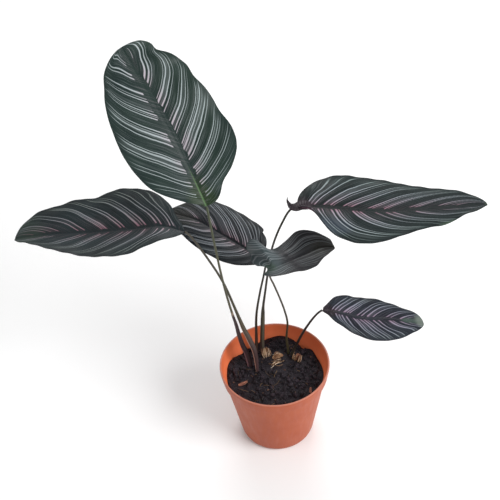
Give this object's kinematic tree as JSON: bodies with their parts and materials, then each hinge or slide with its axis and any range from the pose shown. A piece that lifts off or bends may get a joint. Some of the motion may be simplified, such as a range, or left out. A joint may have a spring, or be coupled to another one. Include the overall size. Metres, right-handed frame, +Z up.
{
  "type": "potted foliage plant",
  "caption": "Potted foliage plant with dark pinstriped leaves on slim arching stalks, standing in soil in a flared round nursery pot.",
  "frame": {"origin": "middle of the pot's flat underside", "axes": "+Z up, the pot's rim is level; -Y is the plant's front; X runs along the spread of the leaves"},
  "size_m": [0.4972, 0.1769, 0.4446],
  "materials": {
    "pot_plastic": "satin",
    "potting_soil": "matte",
    "leaf_blade": "satin",
    "leaf_stalk": "satin",
    "dry_husk": "matte",
    "bark": "matte"
  },
  "bodies": {
    "root": {"pot": "pot_plastic", "soil": "potting_soil", "leaf_1_blade": "leaf_blade", "leaf_2_blade": "leaf_blade", "leaf_3_blade": "leaf_blade", "leaf_4_blade": "leaf_blade", "leaf_5_blade": "leaf_blade", "leaf_6_blade": "leaf_blade", "leaf_1_stalk": "leaf_stalk", "leaf_2_stalk": "leaf_stalk", "leaf_3_stalk": "leaf_stalk", "leaf_4_stalk": "leaf_stalk", "leaf_5_stalk": "leaf_stalk", "leaf_6_stalk": "leaf_stalk", "husk_1": "dry_husk", "husk_2": "dry_husk", "husk_3": "dry_husk", "straw_1": "dry_husk", "straw_2": "dry_husk", "bark_chip_1": "bark", "bark_chip_2": "bark"}
  },
  "joints": []
}
